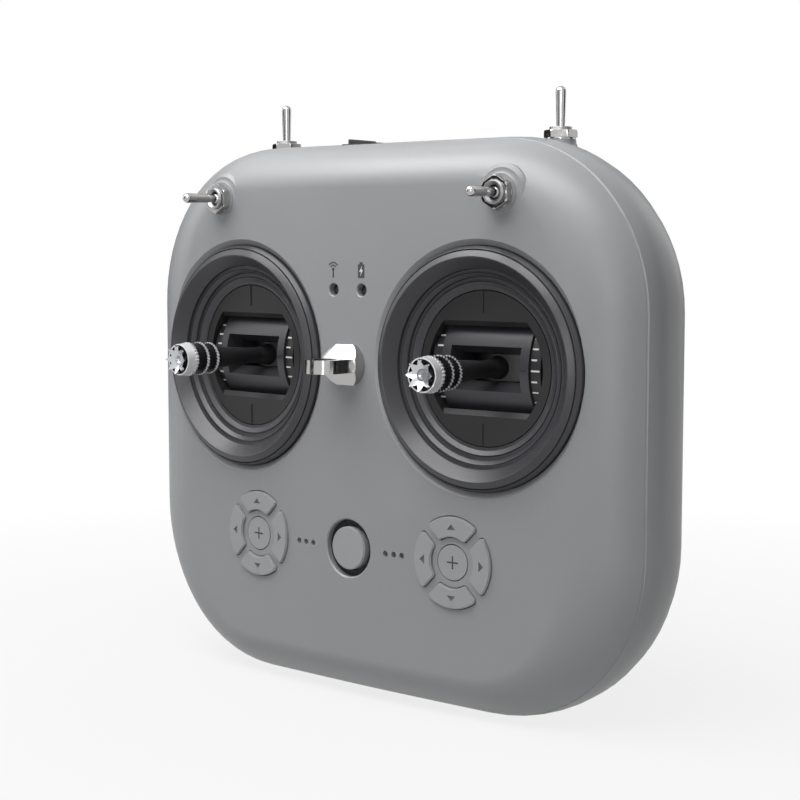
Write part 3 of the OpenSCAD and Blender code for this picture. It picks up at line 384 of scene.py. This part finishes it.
# Painted shade: a grey that stands in for the shade in the arrow recesses of the trim keys.
arrow_recess_shade, tree, shader = new_finish("grey painted shade in recesses", "#5e5f61", 0.6, IOR=1.5)
add_grain(tree, shader, 0.3, 0.003, (0.55, 0.7))

# The black of the power button's ring, made darker as painted shade of the gap round the button.
ring_black_and_gap_shade, tree, shader = new_finish("black ring with painted gap shade", "#0b0b0c", 0.6, IOR=1.45)
add_grain(tree, shader, 0.4, 0.004, (0.55, 0.7))

SLOT_FINISH = {"shell": shell_abs, "charcoal": bezel_abs, "black": black_acetal,
               "stick_metal": turned_aluminium, "chrome": chrome_plate, "steel": zinc_steel,
               "board": solder_mask, "lamp": smoked_lamp, "rubber": soft_rubber,
               "wrap": shrink_wrap}
node_slot = {part["node"]: part["material_slot"] for part in frame["record"]["subparts"]}


def give(piece, finish):
    """The piece has this finish and no other."""
    piece.data.materials.clear()
    piece.data.materials.append(finish)


for name, part in nodes.items():
    give(part, SLOT_FINISH[node_slot[name]])
# The ring round the power button is black, and its extra darkness is painted shade of the gap round
# the button.
give(nodes["power_ring"], ring_black_and_gap_shade)
for name in nodes:
    if "_trim_" in name or name == "power_button":
        give(nodes[name], key_abs)

# %% [markdown]
# ## Smooth copies of CAD nodes
# A CAD node comes as loose triangles, which shade flat. A copy whose corners are merged can
# shade smoothly across its curves and stay crisp at its edges. A small Bevel rounds the edges as
# a mould or a tumbling drum does, and weighted normals keep the flats flat. Normals that came
# with the CAD file belong to the loose triangles, so they are cleared first.


# %% Copy, merge and round
MERGE_GAP = 0.002 * MM
FLAT_WEIGHT = 100


def select_only(piece):
    """Only this piece is selected and active."""
    deselect()
    piece.select_set(True)
    bpy.context.view_layer.objects.active = piece


def smooth_copy(name, angle=35, edge=0.0, steps=2, edge_angle=35):
    """A merged, smoothly shaded copy that stands for a CAD node, with rounded edges if asked."""
    source = nodes[name]
    piece = source.copy()
    piece.data = source.data.copy()
    piece.name = name + "_finished"
    piece.parent = None
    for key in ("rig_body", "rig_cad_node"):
        if key in piece:
            del piece[key]
    bpy.context.scene.collection.objects.link(piece)
    select_only(piece)
    bpy.ops.mesh.customdata_custom_splitnormals_clear()
    bpy.ops.object.mode_set(mode="EDIT")
    bpy.ops.mesh.select_all(action="SELECT")
    bpy.ops.mesh.remove_doubles(threshold=MERGE_GAP)
    bpy.ops.object.mode_set(mode="OBJECT")
    if edge:
        bevel = piece.modifiers.new("edge", "BEVEL")
        bevel.width = edge * MM
        bevel.segments = steps
        bevel.limit_method = "ANGLE"
        bevel.angle_limit = math.radians(edge_angle)
        bevel.harden_normals = False
        bpy.ops.object.modifier_apply(modifier="edge")
    bpy.ops.object.shade_smooth_by_angle(angle=math.radians(angle))
    if edge:
        flat = piece.modifiers.new("flat", "WEIGHTED_NORMAL")
        flat.keep_sharp = True
        flat.weight = FLAT_WEIGHT
        bpy.ops.object.modifier_apply(modifier="flat")
    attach(piece, source["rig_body"])
    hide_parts(name)
    return piece


# %% [markdown]
# ## The two shells
# The mould of the front shell gives its face one gentle curve from side to side, and the back is
# flat. Around every hole the triangles are long and thin, and normals averaged over those leave
# streaks in the gloss. So each corner of such a triangle gets the normal of the true surface at
# its place, and all other corners keep the smooth shading that Blender works out.

# %% Shells with the true normals of the face
FACE_SLOPE = 0.0594
FACE_BLEND = 15 * MM
FACE_TURN = math.radians(3)
FIRST_FACET = math.radians(14)


def face_normal(x):
    """The outward normal of the front face at the distance x from its middle line."""
    return Vector((FACE_SLOPE * x / math.hypot(x, FACE_BLEND), -1, 0)).normalized()


def back_normal(x):
    """The back is flat, so its outward normal is the same everywhere."""
    return Vector((0, 1, 0))


def true_normals(shell, normal_at):
    """Sets the true normals on a face and where its rounding starts; returns the triangles."""
    mesh = shell.data
    turned = {polygon.index: polygon.normal.angle(normal_at(polygon.center.x), 0)
              for polygon in mesh.polygons}
    on_face = {vertex for polygon in mesh.polygons if turned[polygon.index] < FACE_TURN
               for vertex in polygon.vertices}
    corners = [corner.vector.copy() for corner in mesh.corner_normals]
    for polygon in mesh.polygons:
        if turned[polygon.index] < FIRST_FACET:
            for corner in polygon.loop_indices:
                vertex = mesh.loops[corner].vertex_index
                if vertex in on_face:
                    corners[corner] = normal_at(mesh.vertices[vertex].co.x)
    mesh.normals_split_custom_set(corners)
    return sum(turn < FACE_TURN for turn in turned.values())


front_shell = smooth_copy("front_shell", angle=24)
rear_shell = smooth_copy("rear_shell", angle=24)
print("face triangles:", true_normals(front_shell, face_normal))
print("back triangles:", true_normals(rear_shell, back_normal))

# %% [markdown]
# ## Places on the object
# The face leans away from its middle line, and each gimbal, switch and pad stands square to the
# face at its own place. One matrix per place does what the same words do in a drawing: a piece
# is modelled flat at the origin and then laid on its place, with +Z out of the face.

# %% Frames on the face and on the drum axis
FRONT = 20 * MM
GIMBAL_X, GIMBAL_Z = 42 * MM, 91.3 * MM
AXIS_DEPTH = 21.8 * MM
SIDES = {"left": -1, "right": 1}


def on_face(x, z, height=0.0):
    """The matrix of a place on the face, raised by a height, with +Z out of the face."""
    out = face_normal(x)
    depth = FACE_SLOPE * (math.hypot(x, FACE_BLEND) - FACE_BLEND) - FRONT
    across = Vector((-out.y, out.x, 0))
    turn = Matrix((across, (0, 0, 1), out)).transposed().to_4x4()
    return Matrix.Translation((x, depth, z)) @ turn @ Matrix.Translation((0, 0, height))


def on_axis(side):
    """The matrix of a drum's axis: +X along the axis and +Z out of the face."""
    return on_face(side * GIMBAL_X, GIMBAL_Z, -AXIS_DEPTH)


print("right gimbal stands at", tuple(round(v, 4) for v in on_face(GIMBAL_X, GIMBAL_Z).translation))

# %% [markdown]
# ## Rounded edges that catch the light
# No moulded or plated edge is truly sharp, and the thin bright line along an edge is what makes
# a part look real. The hook is cast and tumbled, so its edges are rounded by over a millimetre;
# nuts, keys, bezels and drums keep much tighter ones. Each is a copy of the CAD node with a
# Bevel of that width in millimetres.

# %% Nodes with rounded edges
WIDE_EDGE = 1
WIDE_STEPS, FINE_STEPS = 5, 2
EDGE_WIDTHS = {"lanyard_hook": 1.4, "switch_nuts": 0.18, "switch_washers": 0.1,
               "power_button": 0.2, "power_ring": 0.12, "port_cover": 0.3}
for side_name in SIDES:
    EDGE_WIDTHS[side_name + "_bezel"] = 0.16
    EDGE_WIDTHS[side_name + "_faceplate"] = 0.14
    EDGE_WIDTHS[side_name + "_drum"] = 0.18
    EDGE_WIDTHS[side_name + "_trim_cap"] = 0.15
    for key in ("up", "right", "down", "left"):
        EDGE_WIDTHS[f"{side_name}_trim_{key}"] = 0.2
for name, width in EDGE_WIDTHS.items():
    steps = WIDE_STEPS if width > WIDE_EDGE else FINE_STEPS
    rounded = smooth_copy(name, angle=32, edge=width, steps=steps, edge_angle=28)
    print(rounded.name, len(rounded.data.polygons), "faces")

# %% [markdown]
# ## Two finishes on the stick ends
# A stick end is turned from one aluminium bar and dyed black, and then the rims of its rings
# and its collar are cut once more, which bares the bright metal. So one piece has two
# materials, and each face gets the one that its distance from the stick's axis and its
# direction ask for. The cup in which the crown stands stays black too, behind the bright petals.

# %% Black anodised sleeve with bright rims
STICK_L = 46.2
COLLAR_DEPTH = 5.3
COLLAR_START = STICK_L - COLLAR_DEPTH
SLEEVE_R, CUP_R = 3.6, 4.0
FACING = 0.5
for side_name, side in SIDES.items():
    collar = smooth_copy(side_name + "_stick_collar", angle=28)
    give(collar, satin_silver)
    collar.data.materials.append(black_anodised)
    to_axis = on_axis(side).inverted()
    turn = to_axis.to_3x3()
    for face in collar.data.polygons:
        spot = to_axis @ face.center / MM
        radial = Vector((spot.x, spot.y, 0))
        normal = turn @ face.normal
        rim = radial.length > SLEEVE_R and normal.dot(radial.normalized()) > FACING
        lip = radial.length > CUP_R and spot.z > COLLAR_START and normal.z > FACING
        face.material_index = int(not (rim or lip))
    dark = sum(face.material_index for face in collar.data.polygons)
    crown = smooth_copy(side_name + "_stick_tip", angle=28)
    print(collar.name, dark, "black faces;", crown.name, len(crown.data.polygons), "faces")

# %% [markdown]
# ## New pieces
# Most of the small marks are thin plates. Each is drawn as the corners of its outline: a flat
# disc with as many corners is added, its corners are moved to the drawn places, and the face is
# extruded. A repeated piece is modelled once, and every copy gets its own mesh.


# %% Plates, copies and joins
def thin_plate(points, thickness):
    """A plate with this outline in millimetres, lying on z = 0."""
    deselect()
    bpy.ops.mesh.primitive_circle_add(vertices=len(points), radius=MM, fill_type="NGON")
    plate = bpy.context.object
    for vertex, (x, y) in zip(plate.data.vertices, points):
        vertex.co = (x * MM, y * MM, 0)
    bpy.ops.object.mode_set(mode="EDIT")
    bpy.ops.mesh.select_all(action="SELECT")
    bpy.ops.mesh.extrude_region_move(
        TRANSFORM_OT_translate={"value": (0, 0, thickness * MM)})
    bpy.ops.mesh.select_all(action="SELECT")
    bpy.ops.mesh.normals_make_consistent(inside=False)
    bpy.ops.object.mode_set(mode="OBJECT")
    return plate


def copy_at(piece, place):
    """A copy of a piece, with its own mesh laid on a place."""
    copy = piece.copy()
    copy.data = piece.data.copy()
    copy.data.transform(place)
    bpy.context.scene.collection.objects.link(copy)
    return copy


def join(pieces, name):
    """The pieces as one object."""
    deselect()
    for piece in pieces:
        piece.select_set(True)
    bpy.context.view_layer.objects.active = pieces[0]
    bpy.ops.object.join()
    whole = bpy.context.object
    whole.name = whole.data.name = name
    return whole


def remove(*pieces):
    for piece in pieces:
        bpy.data.objects.remove(piece)


def fit(piece, finish, body):
    """The piece gets its finish and moves with that body."""
    give(piece, finish)
    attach(piece, body)


HOUSING = nodes["front_shell"]["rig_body"]

# %% [markdown]
# ## Cross recesses in the case screws
# Six screws hold the two shells together from behind. A cold-formed screw has a cross pressed
# into its head for the driver. The cross is drawn once as a plate, laid into every head, and
# cut out of the heads with one Boolean.

# %% Cut the driver crosses
CROSS_ARM, CROSS_HALF, CROSS_DEEP = 1.25, 0.32, 0.8
SCREW_ANGLE = 30


def cross_outline(arm, half):
    """The corners of an upright cross with arms of that length and half width."""
    return [(-half, -arm), (half, -arm), (half, -half), (arm, -half), (arm, half), (half, half),
            (half, arm), (-half, arm), (-half, half), (-arm, half), (-arm, -half), (-half, -half)]


def islands(piece):
    """The middles of the separate solids of a piece."""
    link = {vertex.index: vertex.index for vertex in piece.data.vertices}

    def root(v):
        while link[v] != v:
            v = link[v]
        return v
    for edge in piece.data.edges:
        a, b = (root(v) for v in edge.vertices)
        link[a] = b
    groups = {}
    for vertex in piece.data.vertices:
        groups.setdefault(root(vertex.index), []).append(vertex.co)
    return [sum(points, Vector()) / len(points) for points in groups.values()]


screws = smooth_copy("case_screws", angle=SCREW_ANGLE)
head_face = max(vertex.co.y for vertex in screws.data.vertices)
cutters = []
for middle in islands(screws):
    cutter = thin_plate(cross_outline(CROSS_ARM, CROSS_HALF), 2 * CROSS_DEEP)
    cutter.data.transform(Matrix.Translation((middle.x, head_face + CROSS_DEEP * MM, middle.z))
                          @ Matrix.Rotation(math.radians(90), 4, "X"))
    cutters.append(cutter)
cutter = join(cutters, "driver_crosses")
cut = screws.modifiers.new("cross", "BOOLEAN")
cut.operation = "DIFFERENCE"
cut.solver = "EXACT"
cut.object = cutter
select_only(screws)
bpy.ops.object.modifier_apply(modifier="cross")
bpy.ops.object.shade_smooth_by_angle(angle=math.radians(SCREW_ANGLE))
remove(cutter)
print(screws.name, len(cutters), "heads,", len(screws.data.polygons), "faces")

# %% [markdown]
# ## Scales beside the drums
# Each drum turns between two round cheeks that carry a printed scale, a long stroke at rest
# and three short ones on either side, about nine degrees apart. The strokes lie on the curved
# edge of the cheek and end where the round window of the faceplate cuts the cheek.

# %% Scale strokes
CHEEK_R = 17.4
CHEEK_IN = 13.75
WINDOW_R = 17.3
STROKE_STEP = 9.1
STROKE_W = 0.42
SHORT_STROKE, LONG_STROKE = 1.7, 2.5
INK_T = 0.05
for side_name, side in SIDES.items():
    strokes = []
    for number in range(-3, 4):
        angle = math.radians(number * STROKE_STEP)
        reach = math.sqrt(WINDOW_R ** 2 - (CHEEK_R * math.sin(angle)) ** 2) - CHEEK_IN - 0.1
        length = min(LONG_STROKE if number == 0 else SHORT_STROKE, reach)
        for cheek in (-1, 1):
            x0, x1 = sorted((cheek * CHEEK_IN, cheek * (CHEEK_IN + length)))
            stroke = thin_plate([(x0, -STROKE_W / 2), (x1, -STROKE_W / 2),
                                 (x1, STROKE_W / 2), (x0, STROKE_W / 2)], INK_T)
            stroke.data.transform(Matrix.Translation((0, 0, CHEEK_R * MM)))
            stroke.data.transform(on_axis(side) @ Matrix.Rotation(-angle, 4, "X"))
            strokes.append(stroke)
    scale = join(strokes, side_name + "_gimbal_scale")
    fit(scale, white_ink, HOUSING)
    print(scale.name, len(scale.data.polygons), "faces")

# %% [markdown]
# ## Symbols over the lamps
# One lamp shows the radio link and one the battery. Their symbols are engraved in the face and
# generic: a mast with two waves, and a battery cell with a spark. Each is drawn as a thin dark
# grey plate whose colour is painted shade, standing in for the shade in the engraving, and the
# spark is a white plate on the cell. The waves are parts of rings: two arcs of points, one back
# along the other, make the outline of each.

# %% Link symbol and battery symbol
LAMP_X, LAMP_Z = 5, 110.7
SYMBOL_Z = LAMP_Z + 5.3


def ring_part(radius, width, half_angle, steps=10):
    """The outline of a piece of a ring, open at the bottom."""
    angles = [math.radians(90 + half_angle * (2 * k / steps - 1)) for k in range(steps + 1)]
    inner, outer = radius - width / 2, radius + width / 2
    return ([(outer * math.cos(a), outer * math.sin(a)) for a in angles]
            + [(inner * math.cos(a), inner * math.sin(a)) for a in reversed(angles)])


def disc_outline(radius, y, corners=16):
    """The outline of a disc whose middle is raised by y."""
    angles = [math.tau * k / corners for k in range(corners)]
    return [(radius * math.cos(a), y + radius * math.sin(a)) for a in angles]


mast = [(-0.3, -2.1), (0.3, -2.1), (0.16, 0), (-0.16, 0)]
link_symbol = join([thin_plate(ring_part(1.2, 0.34, 52), INK_T),
                    thin_plate(ring_part(1.95, 0.34, 52), INK_T),
                    thin_plate(disc_outline(0.45, 0.1), INK_T),
                    thin_plate(mast, INK_T)], "link_symbol")
link_symbol.data.transform(on_face(-LAMP_X * MM, SYMBOL_Z * MM))
# Painted shade: the dark grey stands in for the shade in the engraved link symbol.
fit(link_symbol, engraving_shade, HOUSING)

cell = [(-1.1, -2.1), (1.1, -2.1), (1.1, 1.5), (0.5, 1.5), (0.5, 2.1),
        (-0.5, 2.1), (-0.5, 1.5), (-1.1, 1.5)]
spark = [(-0.65, -0.45), (-0.02, -0.45), (-0.3, -1.6), (0.65, 0.05), (0.05, 0.05), (0.35, 1.1)]
battery_symbol = thin_plate(cell, INK_T)
battery_symbol.name = "battery_symbol"
battery_symbol.data.transform(on_face(LAMP_X * MM, SYMBOL_Z * MM))
# Painted shade: the dark grey stands in for the shade in the engraved battery symbol.
fit(battery_symbol, engraving_shade, HOUSING)
battery_spark = thin_plate(spark, INK_T)
battery_spark.name = "battery_spark"
battery_spark.data.transform(on_face(LAMP_X * MM, SYMBOL_Z * MM, 0.03 * MM))
fit(battery_spark, white_ink, HOUSING)
print("symbols:", link_symbol.name, battery_symbol.name)

# %% [markdown]
# ## Arrows in the trim keys
# Each trim key has an arrow moulded into it, which points away from the cap. A thin grey plate
# in the bottom of the recess is painted shade: it darkens the arrow as the shade in the recess
# does. One arrow is drawn and laid four times round each cap.

# %% Painted shade in the arrow recesses
KEY_H, ARROW_DEEP = 0.8, 0.3
ARROW_AT, ARROW_HALF, ARROW_LONG = 9.3, 1.3, 1.42
TRIM_X, TRIM_Z = 35.1 * MM, 41.3 * MM
arrow = thin_plate([(-ARROW_HALF, -ARROW_LONG / 2), (ARROW_HALF, -ARROW_LONG / 2),
                    (0, ARROW_LONG / 2)], INK_T)
for side_name, side in SIDES.items():
    pad = on_face(side * TRIM_X, TRIM_Z, (KEY_H - ARROW_DEEP) * MM)
    for key, turn in (("up", 0), ("right", 270), ("down", 180), ("left", 90)):
        mark = copy_at(arrow, pad @ Matrix.Rotation(math.radians(turn), 4, "Z")
                       @ Matrix.Translation((0, ARROW_AT * MM, 0)))
        mark.name = f"{side_name}_{key}_arrow"
        # Painted shade: the grey plate darkens the bottom of the arrow recess.
        fit(mark, arrow_recess_shade, nodes[f"{side_name}_trim_{key}"]["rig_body"])
remove(arrow)
print("arrows laid:", 4 * len(SIDES))

# %% [markdown]
# ## Centring marks on the trim caps
# The round cap in the middle of each trim pad carries a plain cross, which marks the middle of
# the trim's travel. The cross stands for marks engraved in the cap: a thin dark grey plate whose
# colour is painted shade, standing in for the shade in the engraving.

# %% Cross on each cap
CAP_H = 0.1
ARM, ARM_W = 1.7, 0.2
cross_plate = thin_plate(cross_outline(ARM, ARM_W), INK_T)
for side_name, side in SIDES.items():
    mark = copy_at(cross_plate, on_face(side * TRIM_X, TRIM_Z, CAP_H * MM))
    mark.name = side_name + "_cap_mark"
    # Painted shade: the dark grey stands in for the shade of the mark engraved in the cap.
    fit(mark, engraving_shade, nodes[side_name + "_trim_cap"]["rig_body"])
remove(cross_plate)
print("cap marks made")

# %% [markdown]
# ## Thread on the switch bushes
# A toggle switch is held by a nut on a fine thread, and two or three turns of it show between
# the nut and the lever. At this size a helix and separate rings look the same, so each turn is
# a thin ring, sunk by half into the bush.

# %% Thread turns
BUSH_R = 2.8
THREAD_R = 0.14
THREAD_HEIGHTS = (2.66, 2.92, 3.18)
SWITCH_X, SWITCH_Z, SWITCH_PAD = 49.4, 135.6, 0.6
TOP_SWITCH_X, TOP_SWITCH_Y, TOP_SWITCH_Z = 49.1, 7.9, 149.6
turns = []
for height in THREAD_HEIGHTS:
    deselect()
    bpy.ops.mesh.primitive_torus_add(location=(0, 0, height * MM), major_radius=BUSH_R * MM,
                                     minor_radius=THREAD_R * MM, major_segments=48,
                                     minor_segments=8)
    bpy.ops.object.transform_apply()
    turns.append(bpy.context.object)
thread = join(turns, "bush_thread")
bpy.ops.object.shade_smooth()
for side_name, side in SIDES.items():
    top_place = Matrix.Translation([v * MM for v in (side * TOP_SWITCH_X, TOP_SWITCH_Y,
                                                     TOP_SWITCH_Z)])
    front_place = on_face(side * SWITCH_X * MM, SWITCH_Z * MM, SWITCH_PAD * MM)
    for row, place in (("front", front_place), ("top", top_place)):
        turn = copy_at(thread, place)
        turn.name = f"{row}_{side_name}_bush_thread"
        fit(turn, zinc_steel, HOUSING)
remove(thread)
print("threads made")
